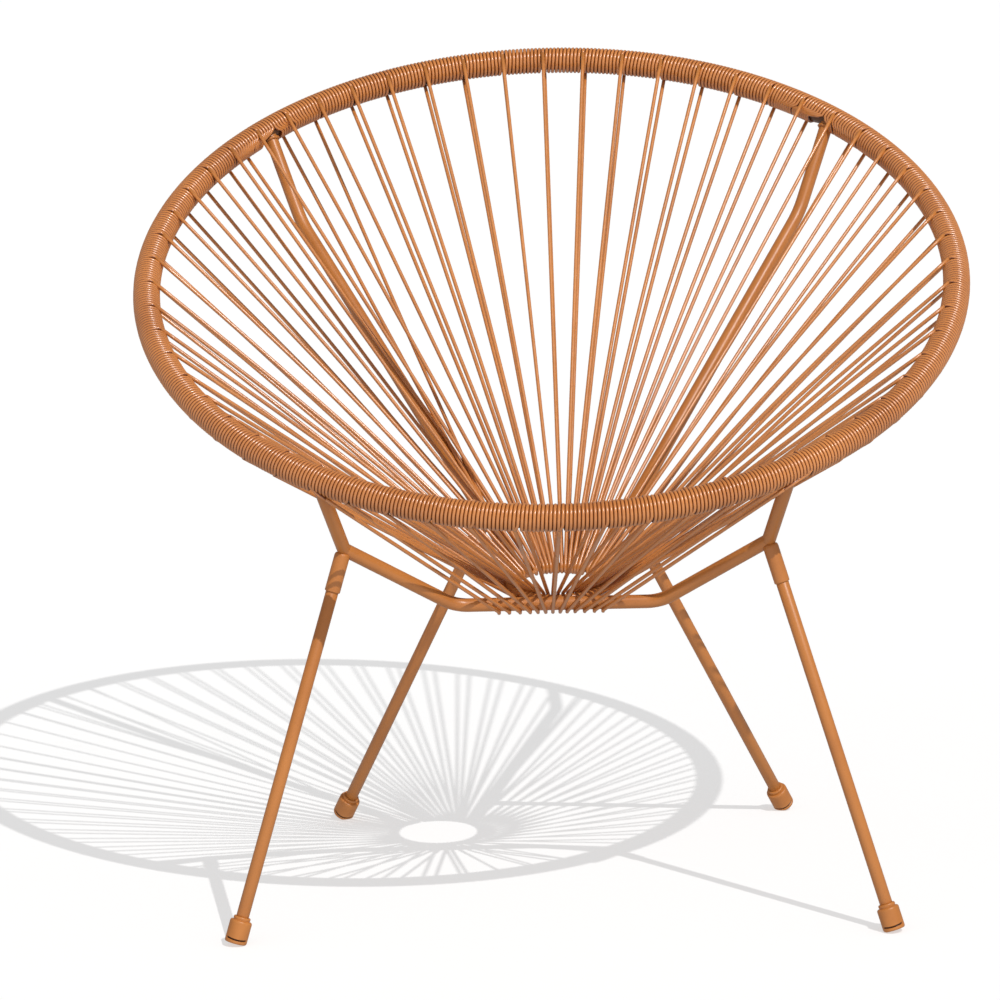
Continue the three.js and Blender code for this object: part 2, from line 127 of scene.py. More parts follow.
# ---- mesh making ----
class Mesh:
    """Collects swept tubes and turned shapes, then makes one object of them."""

    def __init__(self):
        self.verts, self.quads, self.tris, self.count = [], [], [], 0
        self.painted_shade_mask = []

    def tube(self, pts, radius, ref, sides=8, phase=0.5, cap=True, closed=False):
        pts = np.asarray(pts, float)
        n = len(pts)
        radius = np.broadcast_to(np.asarray(radius, float), (n,))
        if closed:
            tan = unit(np.roll(pts, -1, 0) - np.roll(pts, 1, 0))
        else:
            seg = unit(np.diff(pts, axis=0))
            tan = np.empty_like(pts)
            tan[0], tan[-1] = seg[0], seg[-1]
            tan[1:-1] = unit(seg[:-1] + seg[1:])
        ref = np.broadcast_to(np.asarray(ref, float), pts.shape)
        nor = unit(ref - (ref * tan).sum(1)[:, None] * tan)
        bi = np.cross(tan, nor)
        a = (np.arange(sides) + phase) * 2 * math.pi / sides
        ring = np.cos(a)[None, :, None] * nor[:, None, :] + np.sin(a)[None, :, None] * bi[:, None, :]
        v = pts[:, None, :] + radius[:, None, None] * ring
        base = self.count
        self.verts.append(v.reshape(-1, 3))
        # the sides of each turn that face its neighbours get the full mask for painted shade
        self.painted_shade_mask.append(np.tile(np.abs(np.cos(a)), n))
        self.count += n * sides
        rows = n if closed else n - 1
        i = np.arange(rows)[:, None] * sides
        j = (np.arange(rows)[:, None] + 1) % n * sides
        k = np.arange(sides)[None, :]
        k1 = (k + 1) % sides
        q = np.stack([i + k, i + k1, j + k1, j + k], -1).reshape(-1, 4) + base
        self.quads.append(q)
        if cap and not closed:
            for row, flip in ((0, True), (n - 1, False)):
                centre = self.count
                self.verts.append(pts[row][None])
                self.painted_shade_mask.append(np.zeros(1))
                self.count += 1
                first = base + row * sides
                f = np.stack([np.full(sides, centre), first + k[0], first + k1[0]], -1)
                self.tris.append(f[:, ::-1] if flip else f)

    def turned(self, profile, base_point, direction, segments=32, shape=None, closed=False):
        """Lathe: profile of (radius, distance along the axis)."""
        d = unit(direction)
        side = unit(np.cross(d, EX if abs(d[0]) < 0.8 else EY))
        other = np.cross(d, side)
        prof = np.asarray(profile, float)
        a = np.arange(segments) * 2 * math.pi / segments
        round_ = np.cos(a)[:, None] * side + np.sin(a)[:, None] * other
        r = plain = np.repeat(prof[:, :1], segments, 1)
        if shape is not None:
            r = shape(r, prof[:, 1:2], round_)
        v = base_point + prof[:, 1][:, None, None] * d + r[..., None] * round_[None]
        base = self.count
        n = len(prof)
        self.verts.append(v.reshape(-1, 3))
        # depth cut into a turned shape, the mask for painted shade in the caps' slits
        self.painted_shade_mask.append(np.clip((plain - r).ravel() / 0.9, 0, 1))
        self.count += n * segments
        rows = n if closed else n - 1
        i = np.arange(rows)[:, None] * segments
        j = (np.arange(rows)[:, None] + 1) % n * segments
        k = np.arange(segments)[None, :]
        k1 = (k + 1) % segments
        self.quads.append(np.stack([i + k, i + k1, j + k1, j + k], -1).reshape(-1, 4) + base)

    def make(self, name, material, sharp=None, floor=False, inside=False):
        v = np.concatenate(self.verts)
        if inside:
            v = np.clip(v, BOX_LO, BOX_HI)
        if floor:
            v[:, 2] = np.maximum(v[:, 2], 0.0)
        mesh = bpy.data.meshes.new(name)
        quads = np.concatenate(self.quads) if self.quads else np.zeros((0, 4), int)
        tris = np.concatenate(self.tris) if self.tris else np.zeros((0, 3), int)
        loops = np.concatenate([quads.ravel(), tris.ravel()]).astype(np.int32)
        sizes = np.concatenate([np.full(len(quads), 4), np.full(len(tris), 3)])
        starts = np.concatenate([[0], np.cumsum(sizes)[:-1]]).astype(np.int32)
        mesh.vertices.add(len(v))
        mesh.vertices.foreach_set("co", (v * 0.001).astype(np.float32).ravel())
        mesh.loops.add(len(loops))
        mesh.loops.foreach_set("vertex_index", loops)
        mesh.polygons.add(len(sizes))
        mesh.polygons.foreach_set("loop_start", starts)
        mesh.polygons.foreach_set("use_smooth", np.ones(len(sizes), bool))
        mesh.update(calc_edges=True)
        # mask of where shade is painted: the cord sides where turns touch, and the caps' slits
        if inside or floor:
            mesh.attributes.new("painted_shade_mask", "FLOAT", "POINT").data.foreach_set("value", np.concatenate(self.painted_shade_mask).astype(np.float32))
        mesh.validate()
        if sharp is not None:
            mesh.set_sharp_from_angle(angle=math.radians(sharp))
        mesh.materials.append(material)
        obj = bpy.data.objects.new(name, mesh)
        bpy.context.scene.collection.objects.link(obj)
        return obj


def bent(corners, radii, per_bend=14):
    """Corner points joined by straights and round bends."""
    c = [np.asarray(p, float) for p in corners]
    radii = [radii] * len(c) if np.isscalar(radii) else radii
    out = [c[0]]
    for i in range(1, len(c) - 1):
        a, b = unit(c[i - 1] - c[i]), unit(c[i + 1] - c[i])
        half = math.acos(max(-1, min(1, float(a @ b)))) / 2
        bend_radius = radii[i]
        cut = bend_radius / math.tan(half)
        mid = c[i] + unit(a + b) * bend_radius / math.sin(half)
        p, q = c[i] + a * cut - mid, c[i] + b * cut - mid
        total = math.pi - 2 * half
        axis = unit(np.cross(p, q))
        for k in range(per_bend + 1):
            t = total * k / per_bend
            out.append(mid + p * math.cos(t) + np.cross(axis, p) * math.sin(t))
    out.append(c[-1])
    return np.array(out)


# ---- materials ----
def new_material(name):
    m = bpy.data.materials.new(name)
    m.use_nodes = True
    nt = m.node_tree
    nt.nodes.clear()
    out = nt.nodes.new("ShaderNodeOutputMaterial")
    bsdf = nt.nodes.new("ShaderNodeBsdfPrincipled")
    nt.links.new(bsdf.outputs[0], out.inputs[0])
    coord = nt.nodes.new("ShaderNodeTexCoord")
    return m, nt, bsdf, coord


def noise(nt, coord, scale, detail=2.0, rough=0.5, stretch=None):
    node = nt.nodes.new("ShaderNodeTexNoise")
    node.inputs["Scale"].default_value = scale
    node.inputs["Detail"].default_value = detail
    node.inputs["Roughness"].default_value = rough
    source = coord.outputs["Object"]
    if stretch:
        mapping = nt.nodes.new("ShaderNodeMapping")
        mapping.inputs["Scale"].default_value = stretch
        nt.links.new(source, mapping.inputs["Vector"])
        source = mapping.outputs[0]
    nt.links.new(source, node.inputs["Vector"])
    return node.outputs[0]


def ramp(nt, value, stops):
    node = nt.nodes.new("ShaderNodeValToRGB")
    e = node.color_ramp.elements
    e[0].position, e[0].color = stops[0][0], (*stops[0][1], 1)
    e[1].position, e[1].color = stops[-1][0], (*stops[-1][1], 1)
    for pos, col in stops[1:-1]:
        x = e.new(pos)
        x.color = (*col, 1)
    nt.links.new(value, node.inputs[0])
    return node.outputs[0]


def spread(nt, value, lo, hi, src=(0.3, 0.7)):
    node = nt.nodes.new("ShaderNodeMapRange")
    node.inputs["From Min"].default_value, node.inputs["From Max"].default_value = src
    node.inputs["To Min"].default_value, node.inputs["To Max"].default_value = lo, hi
    nt.links.new(value, node.inputs["Value"])
    return node.outputs[0]


def blend(nt, kind, factor, a, b):
    node = nt.nodes.new("ShaderNodeMix")
    node.data_type = "RGBA"
    node.blend_type = kind
    if isinstance(factor, float):
        node.inputs[0].default_value = factor
    else:
        nt.links.new(factor, node.inputs[0])
    for socket, value in ((node.inputs[6], a), (node.inputs[7], b)):
        if isinstance(value, tuple):
            socket.default_value = (*value, 1)
        else:
            nt.links.new(value, socket)
    return node.outputs[2]


def bump(nt, bsdf, height, strength, distance):
    node = nt.nodes.new("ShaderNodeBump")
    node.inputs["Strength"].default_value = strength
    node.inputs["Distance"].default_value = distance
    nt.links.new(height, node.inputs["Height"])
    nt.links.new(node.outputs[0], bsdf.inputs["Normal"])


def cord_material(name, tone, gap_shade_tone=None):
    """Glossy plastic cord: dye that varies a little along the run, faint dust; painted shade darkens the sides where
    turns touch.
    """
    m, nt, bsdf, coord = new_material(name)
    r, g, b = tone
    broad = noise(nt, coord, 9.0, 2.0)
    colour = ramp(nt, broad, [(0.30, (r * 0.88, g * 0.84, b * 0.80)), (0.5, tone),
                              (0.72, (r * 1.10, g * 1.13, b * 1.16))])
    fine = noise(nt, coord, 240.0, 3.0, 0.6)
    mottled = ramp(nt, fine, [(0.35, (0.90, 0.88, 0.86)), (0.65, (1.0, 1.0, 1.0))])
    colour = blend(nt, "MULTIPLY", 0.8, colour, mottled)
    # painted shade: the sides of the turns, where they touch, are darkened toward this dark tone
    if gap_shade_tone:
        painted_shade_mask = nt.nodes.new("ShaderNodeAttribute")
        painted_shade_mask.attribute_name = "painted_shade_mask"
        colour = blend(nt, "MULTIPLY", spread(nt, painted_shade_mask.outputs["Fac"], 0.0, 1.0, (0.52, 0.90)), colour, gap_shade_tone)
    nt.links.new(colour, bsdf.inputs["Base Color"])
    nt.links.new(spread(nt, noise(nt, coord, 55.0, 3.0, 0.6), 0.26, 0.38), bsdf.inputs["Roughness"])
    bsdf.inputs["Specular IOR Level"].default_value = 0.95
    bsdf.inputs["IOR"].default_value = 1.5
    bump(nt, bsdf, noise(nt, coord, 1100.0, 1.0), 0.05, 0.0002)
    return m


def coat_material(name, tone, rough=(0.36, 0.47), peel=520.0):
    """Powder coat: orange peel, faint cloudiness, a little polish where hands and cord rub."""
    m, nt, bsdf, coord = new_material(name)
    r, g, b = tone
    cloud = noise(nt, coord, 16.0, 3.0)
    colour = ramp(nt, cloud, [(0.30, (r * 0.90, g * 0.87, b * 0.84)), (0.5, tone),
                              (0.70, (r * 1.06, g * 1.08, b * 1.10))])
    speck = ramp(nt, noise(nt, coord, 900.0, 1.0), [(0.28, (0.84, 0.82, 0.80)), (0.42, (1.0, 1.0, 1.0))])
    colour = blend(nt, "MULTIPLY", 0.7, colour, speck)
    nt.links.new(colour, bsdf.inputs["Base Color"])
    nt.links.new(spread(nt, noise(nt, coord, 70.0, 4.0, 0.6), *rough), bsdf.inputs["Roughness"])
    bsdf.inputs["Specular IOR Level"].default_value = 0.5
    bsdf.inputs["Coat Weight"].default_value = 0.12
    bsdf.inputs["Coat Roughness"].default_value = 0.25
    bump(nt, bsdf, noise(nt, coord, peel, 2.0, 0.5), 0.16, 0.0003)
    return m


def plastic_material(name, tone):
    """Moulded foot caps: satin grain, scuffed lighter near the floor; the slit's recess is painted dark as shade."""
    m, nt, bsdf, coord = new_material(name)
    r, g, b = tone
    cloud = noise(nt, coord, 60.0, 3.0)
    colour = ramp(nt, cloud, [(0.32, (r * 0.90, g * 0.88, b * 0.86)), (0.68, (r * 1.05, g * 1.07, b * 1.1))])
    parts = nt.nodes.new("ShaderNodeSeparateXYZ")
    nt.links.new(coord.outputs["Object"], parts.inputs[0])
    low = spread(nt, parts.outputs[2], 0.55, 0.0, (0.0005, 0.007))
    scuff = nt.nodes.new("ShaderNodeMath")
    scuff.operation = "MULTIPLY"
    nt.links.new(low, scuff.inputs[0])
    nt.links.new(spread(nt, noise(nt, coord, 380.0, 4.0, 0.7), 0.0, 1.0, (0.45, 0.62)), scuff.inputs[1])
    colour = blend(nt, "MIX", scuff.outputs[0], colour, (min(r * 1.3, 1), g * 1.6, b * 2.6))
    # painted shade: the slit is darkened by its depth
    slit_shade = nt.nodes.new("ShaderNodeAttribute")
    slit_shade.attribute_name = "painted_shade_mask"
    colour = blend(nt, "MULTIPLY", slit_shade.outputs["Fac"], colour, (0.10, 0.06, 0.03))
    nt.links.new(colour, bsdf.inputs["Base Color"])
    nt.links.new(spread(nt, noise(nt, coord, 160.0, 3.0), 0.36, 0.5), bsdf.inputs["Roughness"])
    bump(nt, bsdf, noise(nt, coord, 1100.0, 2.0), 0.12, 0.0002)
    return m


def steel_material(name):
    """Zinc plated steel: faint spangle and turning marks."""
    m, nt, bsdf, coord = new_material(name)
    colour = ramp(nt, noise(nt, coord, 220.0, 3.0), [(0.3, (0.50, 0.50, 0.52)), (0.7, (0.68, 0.68, 0.70))])
    nt.links.new(colour, bsdf.inputs["Base Color"])
    nt.links.new(spread(nt, noise(nt, coord, 400.0, 3.0), 0.28, 0.45), bsdf.inputs["Roughness"])
    bsdf.inputs["Metallic"].default_value = 1.0
    bump(nt, bsdf, noise(nt, coord, 1500.0, 2.0), 0.10, 0.0001)
    return m


def floor_material(name):
    m, nt, bsdf, coord = new_material(name)
    colour = ramp(nt, noise(nt, coord, 3.0, 3.0), [(0.3, (0.447, 0.447, 0.447)), (0.7, (0.453, 0.453, 0.453))])
    nt.links.new(colour, bsdf.inputs["Base Color"])
    bsdf.inputs["Emission Color"].default_value = (1, 1, 1, 1)
    bsdf.inputs["Emission Strength"].default_value = 0.56
    bsdf.inputs["Roughness"].default_value = 0.9
    bsdf.inputs["Specular IOR Level"].default_value = 0.0
    return m


CORD_TONE = (0.56, 0.202, 0.043)
STRAND = cord_material("pvc_cord_seat", CORD_TONE)
# rim cord: tone set a little brighter than the seat cord's as painted light; its dark second tone is painted shade
# between turns
WINDING = cord_material("pvc_cord_rim", (0.60, 0.214, 0.046), gap_shade_tone=(0.34, 0.20, 0.10))
# painted shade: the rim tube under the winding is coated near-black so the gaps between turns and round the supports
# read as shaded
SHADED_UNDER_CORD = coat_material("coat_painted_shade_under_cord", (0.10, 0.038, 0.012))
COAT = coat_material("powder_coat", (0.482, 0.170, 0.034))
CAP = plastic_material("moulded_cap", (0.49, 0.174, 0.035))
STEEL = steel_material("zinc_steel")

# ---- frame tubes ----
front_end = rim_at(math.radians(FRONT_AT) * RIM_R, 0.0, 0.0)
run_end = np.array([RUN_HALF, RUN_Y, RUN_Z])
MIRROR = np.array([-1.0, 1.0, 1.0])
front_path = bent([front_end * MIRROR, ELBOW * MIRROR, run_end * MIRROR, run_end, ELBOW, front_end], [0, 8, 32, 32, 8, 0])

back_top = rim_at(math.radians(BACK_AT) * RIM_R, 0.0, 0.0)
back_foot = ring_point(BACK_AT)
chord = back_foot - back_top
chord_dir = unit(chord)
outward = unit(-np.array([chord[0], chord[1], 0.0]))
back_out = unit(outward - (outward @ chord_dir) * chord_dir)
back_bend = back_top + 0.179 * chord + 26.0 * back_out
back_end = back_foot + 3.0 * unit(back_bend - back_foot) + 3.4 * back_out
back_path = bent([back_top, back_bend, back_end], 90)
back_leg_top = back_bend + (back_end - back_bend) * 0.848

pieces = []


def keep(obj, nodes):
    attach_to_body(obj, "root")
    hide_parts(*nodes)
    pieces.append(obj)
    return obj


def side_ref(path):
    """A steady direction square to a bent tube's plane."""
    n = np.cross(path[len(path) // 2] - path[0], path[-1] - path[0])
    return unit(n) if np.linalg.norm(n) > 1e-6 else EX


m = Mesh()
a = np.arange(192) * 2 * math.pi / 192
m.tube(rim_at(a * RIM_R, np.zeros(192), np.zeros(192)), RIM_TUBE, np.broadcast_to(UP, (192, 3)), sides=20, closed=True)
keep(m.make("rim_tube", SHADED_UNDER_CORD), ["rim_ring"])

m = Mesh()
pts = np.array([ring_point(math.degrees(x)) for x in a[::2]])
m.tube(pts, ROD, np.broadcast_to(RING_UP, pts.shape), sides=14, closed=True)
keep(m.make("lower_ring_rod", COAT), ["lower_ring"])


def bead(mesh, centre, axis, tube_r, size=1.5, seg=40):
    """A weld bead round a tube where it meets another."""
    ax = unit(axis)
    u = unit(np.cross(ax, EX if abs(ax[0]) < 0.8 else EY))
    w = np.cross(ax, u)
    t = np.arange(seg) * 2 * math.pi / seg
    ripple = 1 + 0.12 * np.sin(t * 13)
    ring = centre + (tube_r + 0.25 * size) * (np.cos(t)[:, None] * u + np.sin(t)[:, None] * w)
    mesh.tube(ring, size * ripple, np.broadcast_to(ax, ring.shape), sides=8, closed=True)


m = Mesh()
front_ref = np.array([[0.0, -0.55, 0.83]])
m.tube(front_path, SUPPORT, np.broadcast_to(front_ref, front_path.shape), sides=24)
for flip in (EX * 0 + 1, MIRROR):
    d = unit(ELBOW - front_end) * flip
    bead(m, front_end * flip + d * (RIM_TUBE + 1.0), d, SUPPORT, 1.6)
keep(m.make("front_support_tube", COAT, sharp=50), ["front_support"])

for label, flip in (("right", EX * 0 + 1), ("left", MIRROR)):
    m = Mesh()
    p = back_path * flip
    m.tube(p, SUPPORT, np.broadcast_to(side_ref(p), p.shape), sides=24)
    d = unit(p[1] - p[0])
    bead(m, p[0] + d * (RIM_TUBE + 1.0), d, SUPPORT, 1.6)
    d = unit(p[-2] - p[-1])
    bead(m, p[-1] + d * 1.4, d, SUPPORT - 1.2, 1.4)
    keep(m.make(f"back_support_tube_{label}", COAT, sharp=50), [f"back_support_{label}"])

# ---- sockets, legs and foot caps ----
LEGS = {}
for row, flip in (("front_right", 1), ("front_left", -1), ("back_right", 1), ("back_left", -1)):
    front = row.startswith("front")
    sgn = np.array([flip, 1.0, 1.0])
    top = (ELBOW if front else back_leg_top) * sgn
    foot = (FRONT_FOOT if front else BACK_FOOT) * sgn
    down = unit(foot - top)
    length = float(np.linalg.norm(foot - top))
    lean = math.acos(-down[2])
    cap_base = length - (CAP_R * math.sin(lean) - CAP_WORN) / math.cos(lean)
    leg_end = cap_base - 5
    cap_top = cap_base - CAP_H
    LEGS[row] = (top, down, cap_top, cap_base)

    m = Mesh()
    m.turned([(0.01, 3.2), (4.6, 3.3), (6.4, 4.1), (7.05, 5.4), (SOCKET_R, 7.4), (SOCKET_R, SOCKET_END - 1.1),
              (SOCKET_R - 0.12, SOCKET_END - 0.45), (SOCKET_R - 0.45, SOCKET_END - 0.06), (SOCKET_BORE + 0.35, SOCKET_END),
              (SOCKET_BORE, SOCKET_END - 0.35), (SOCKET_BORE, 12.0), (0.01, 12.0)], top, down, 40)
    bead(m, top + down * (SUPPORT + 0.8), down, SOCKET_R - 0.6, 0.5)
    keep(m.make(f"socket_{row}", COAT, sharp=45), [f"leg_socket_{row}"])

    m = Mesh()
    m.turned([(4.8, LEG_TOP), (LEG_R - 0.3, LEG_TOP), (LEG_R, LEG_TOP + 0.4), (LEG_R, leg_end - 0.4), (LEG_R - 0.3, leg_end),
              (4.8, leg_end)], top, down, 36, closed=True)
    keep(m.make(f"leg_tube_{row}", COAT, sharp=45), [f"leg_{row}"])

    face = unit(np.array([0.0, -1.0, 0.0]) + 0.0 * down)
    face = unit(face - (face @ down) * down)

    def slit(r, h, round_, face=face, cap_base=cap_base):
        """A moulded slit low on the cap's front, bowed upwards at its ends."""
        az = round_ @ face
        reach = smooth((az - 0.42) / 0.16)
        bow = 2.0 * (1 - az)
        depth = np.exp(-(((h - (cap_base - 3.8 - bow)) / 0.66) ** 4))
        return np.where(r > 8.0, r - 1.5 * reach[None, :] * depth, r)

    prof = [(LEG_R + 0.05, cap_top - 3.4), (7.2, cap_top - 3.5), (7.85, cap_top - 3.0), (8.05, cap_top - 2.2), (8.0, cap_top - 1.2),
            (7.7, cap_top - 0.5), (7.75, cap_top - 0.1), (8.6, cap_top + 0.02), (9.5, cap_top + 0.25), (10.15, cap_top + 0.9),
            (10.42, cap_top + 1.7), (10.45, cap_top + 3.0)]
    prof += [(10.45, h) for h in np.linspace(cap_top + 5, cap_base - 9, 4)]
    prof += [(10.45, h) for h in np.arange(cap_base - 8.6, cap_base - 1.9, 0.3)]
    prof += [(10.35, cap_base - 1.3), (10.1, cap_base - 0.7), (9.6, cap_base - 0.2), (8.8, cap_base), (0.01, cap_base)]
    m = Mesh()
    m.turned(prof, top, down, 72, shape=slit)
    keep(m.make(f"cap_{row}", CAP, sharp=60, floor=True), [f"foot_cap_{row}"])

for node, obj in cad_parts.items():
    if node.startswith(("socket_nut_", "leg_stud_")):
        obj.data.materials.clear()
        obj.data.materials.append(STEEL)

# ---- cord layout ----
OUTER_PSI = {3: 19.4, 4: 22.9, 5: 25.6, 6: 27.9, 7: 29.6, -6: -57.0, -7: -50.0, -8: -24.9}
OUTER_EXTRA = {8: 18.0, -8: -13.0, -7: -2.0, -6: -2.0}
REROUTED = 24
ties = list(range(-29, 31))
wob_in = {k: rng.normal(0, 0.35) for k in ties}
wob_out = {k: rng.normal(0, 0.35) for k in ties}
wob_psi_in = {k: rng.normal(0, 0.30) for k in ties}
wob_psi_out = {k: rng.normal(0, 0.30) for k in ties}


def spacing(x):
    """How far a crossing stands from its even place round the rim."""
    s = math.copysign(1, x)
    return 0.44 * x if abs(x) <= 22 else 0.44 * s * 22 * (30 - abs(x)) / 8


def even(x):
    return STEP * x - 4.5 + spacing(x)


def rim_s(k, side):
    if side > 0:
        return even(k) + wob_in[k]
    if abs(k) == REROUTED:
        return math.copysign(math.radians(FRONT_AT + 2.4) * RIM_R, k)
    return even(k) + 1.08 + OUTER_EXTRA.get(k, 0.0) + wob_out[k]


def psi(k, side):
    if side < 0 and k in OUTER_PSI:
        return OUTER_PSI[k]
    a_ = abs(k)
    e = 33.82 * a_ / 7 if a_ <= 7 else 38.72 + 141.28 * (a_ - 8) / 22
    return math.copysign(e, k) + 5.81 + (wob_psi_in[k] if side > 0 else wob_psi_out[k])


def strand(k, side, ring_r=ROD + CORD):
    lift = LIFT_IN if side > 0 else LIFT_REROUTED if abs(k) == REROUTED else LIFT_OUT
    s = rim_s(k, side)
    rho, ta = rim_axes(s)
    a0 = CENTRE + RIM_R * rho
    ps = psi(k, side)
    rr, tb = ring_axes(ps)
    b0 = ring_point(ps)
    p, q = a0, b0
    for _ in range(5):
        d = unit(q - p)
        ua, ub = unit(np.cross(ta, d)), unit(np.cross(tb, d))
        ua = ua if ua[2] * side > 0 else -ua
        ub = ub if ub[2] * side > 0 else -ub
        p, q = a0 + ua * lift, b0 + ub * ring_r
    theta = math.atan2(float(ua @ UP), float(ua @ rho))
    around = -math.sin(theta) * rho + math.cos(theta) * UP
    alpha = math.atan2(float(ub @ RING_UP), float(ub @ rr))
    travel = d if side > 0 else -d
    slope = lift * float(travel @ ta) / float(travel @ around)
    return dict(s=s, p=p, q=q, d=d, ta=ta, tb=tb, theta=theta, alpha=alpha, slope=slope, psi=ps, ua=ua, lift=lift)


inner = {k: strand(k, 1) for k in ties}
outer = {k: strand(k, -1) for k in ties}

TUBES = {"right": back_path, "left": back_path * MIRROR}
back_lines = {"right": [back_bend, back_end], "left": [back_bend * MIRROR, back_end * MIRROR]}


def clear_of_tube(pts, lift_dir, clearance):
    """Lifts a strand's points over a back support's straight, like a taut cord that rests on it."""
    out = pts.copy()
    for a_, b_ in back_lines.values():
        ab = b_ - a_
        t = np.clip(((pts - a_) @ ab) / (ab @ ab), -0.05, 1.02)
        v = pts - (a_ + t[:, None] * ab)
        dist = np.linalg.norm(v, axis=1)
        along = v @ lift_dir
        need = np.where(dist < clearance, -along + np.sqrt(np.maximum(along ** 2 - dist ** 2 + clearance ** 2, 0)), 0.0)
        if need.max() <= 0:
            continue
        n = len(need)
        x = np.arange(n)
        hull = need.copy()
        for i in np.nonzero(need > 0)[0]:
            span = max(3.0, n * 0.30)
            hull = np.maximum(hull, need[i] * np.maximum(0, 1 - np.abs(x - i) / span))
        taper = smooth(x / (0.12 * n)) * smooth((n - 1 - x) / (0.06 * n) + 0.35)
        out = out + (hull * np.maximum(taper, 0))[:, None] * lift_dir
    return out


# ---- the rim's winding, in stretches from one crossing to the next ----
PER_TURN = 26
attach = []
for s_deg, nxt in ((BACK_AT, back_bend), (-BACK_AT, back_bend * MIRROR), (FRONT_AT, ELBOW), (-FRONT_AT, ELBOW * MIRROR)):
    s_a = math.radians(s_deg) * RIM_R
    rho, ta = rim_axes(s_a)
    d = unit(nxt - (CENTRE + RIM_R * rho))
    attach.append((s_a, math.atan2(float(d @ UP), float(d @ rho))))
CIRC = 2 * math.pi * RIM_R


def wrap_angle(x):
    return (x + math.pi) % (2 * math.pi) - math.pi


def stretch(k):
    """Cord from crossing k's outer strand round the rim to the inner strand of crossing k-1."""
    prev = k - 1 if k > -29 else 30
    shift = 0.0 if k > -29 else -CIRC
    start, end = outer[k], inner[prev]
    th0 = start["theta"] % (2 * math.pi)
    th_in = end["theta"] % (2 * math.pi)
    th1 = th_in + 2 * math.pi * TURNS
    n = int(PER_TURN * (TURNS - 0.5)) + 1
    th = np.linspace(th0, th1, n)
    turn = 0.5 + (TURNS - 0.5) * (th - th0) / (th1 - th0)
    s_k, s_p = even(k), even(k - 1) if k > -29 else even(30) - CIRC
    pitch = (s_k - s_p) / TURNS
    s = s_k - pitch * turn
    slope_h = -pitch / (2 * math.pi)
    # turns crowd a little into the places that the strands leave
    frac = turn % 1.0
    index = np.floor(turn)
    beta = frac * 360
    window = smooth((beta - 20) / 50) * smooth((160 - beta) / 50) * (beta < 180)
    s = s + 0.42 * (0.55 - 0.1 * index) * pitch * window
    # and part round each support
    for s_a, th_a in attach:
        x = (s - s_a + CIRC / 2) % CIRC - CIRC / 2
        b = wrap_angle(th - th_a)
        xc = x - slope_h * b
        near = np.abs(xc) < 62
        hold, fade = (44, 30) if abs(s_a) < 500 else (24, 50)
        w = np.where(near, 1 - smooth((np.abs(np.degrees(b)) - hold) / fade), 0.0)
        room = np.where(xc < 0, 19.0 if abs(s_a) < 500 else 8.6, 7.6)
        target = np.sign(xc) * (room + np.abs(xc) * (62 - room) / 62)
        s = s + w * (target - xc)
    r = np.full(n, WIND_R)
    r = r + rng.normal(0, 0.02, n)
    # lead-out from the outer strand and lead-in to the inner one
    for which, data, base in (("start", start, 0.0), ("end", end, shift)):
        target = data["s"] + base
        if which == "start":
            here = s_k - pitch * 0.5
            dist = th - th0
        else:
            here = s_p
            dist = th1 - th
        gap = (target - here + CIRC / 2) % CIRC - CIRC / 2
        if which == "end":
            wide, rise = math.radians(42 + min(abs(gap), 8) * 3), math.radians(38)
        elif abs(k) > 15:
            wide, rise = math.radians(34), math.radians(30)
        else:
            wide, rise = math.radians(58 + min(abs(gap), 20) * 3.2), math.radians(44 if abs(gap) < 6 else 100)
        w = np.clip(1 - dist / wide, 0, 1)
        hermite = (w ** 3 - w ** 2) * wide * (data["slope"] - slope_h)
        if which == "start":
            hermite = -hermite
        s = s + gap * smooth(w) + hermite
        lift = data["lift"] + (1.2 if which == "start" and 6 < abs(gap) < 20 else 0.0) * np.clip(dist / rise * 3, 0, 1)
        r = r + (lift - WIND_R) * smooth(np.clip(1 - dist / rise, 0, 1))
    pts = rim_at(s, th, r)
    _, ta = rim_axes(s)
    return pts, ta


groups = {"back": [], "right": [], "front": [], "left": []}
for k in ties:
    mid = k - 0.5
    if abs(mid) < 7.7:
        groups["back"].append(k)
    elif abs(mid) > 24.33:
        groups["front"].append(k)
    else:
        groups["right" if mid > 0 else "left"].append(k)
CORD_V = CORD * 1.045
for label, ks in groups.items():
    m = Mesh()
    for k in ks:
        pts, ta = stretch(k)
        m.tube(pts, CORD_V, ta, sides=8)
    keep(m.make(f"rim_cord_{label}", WINDING, inside=True), [f"rim_winding_{label}"])

# ---- seat strands with their loops round the lower ring ----
SECTORS = [("back_left", -7, -3), ("back_middle", -2, 2), ("back_right", 3, 7), ("right_rear", 8, 13),
           ("right_middle", 14, 18), ("right_front", 19, 24), ("front_right", 25, 28), ("front_middle", 29, 31),
           ("front_left", 32, 35), ("left_front", 36, 41), ("left_middle", 42, 46), ("left_rear", 47, 52)]
LOOP_R = ROD + CORD


def loop_points(psi0, psi1, al0, al1, n=16):
    t = np.linspace(0, 1, n)
    out, ref = [], []
    for x in t:
        al = al0 + (al1 - al0) * x
        ps = psi0 + (psi1 - psi0) * float(smooth(x))
        rr, tb = ring_axes(ps)
        out.append(ring_point(ps) + LOOP_R * (math.cos(al) * rr + math.sin(al) * RING_UP))
        ref.append(tb)
    return np.array(out), np.array(ref)


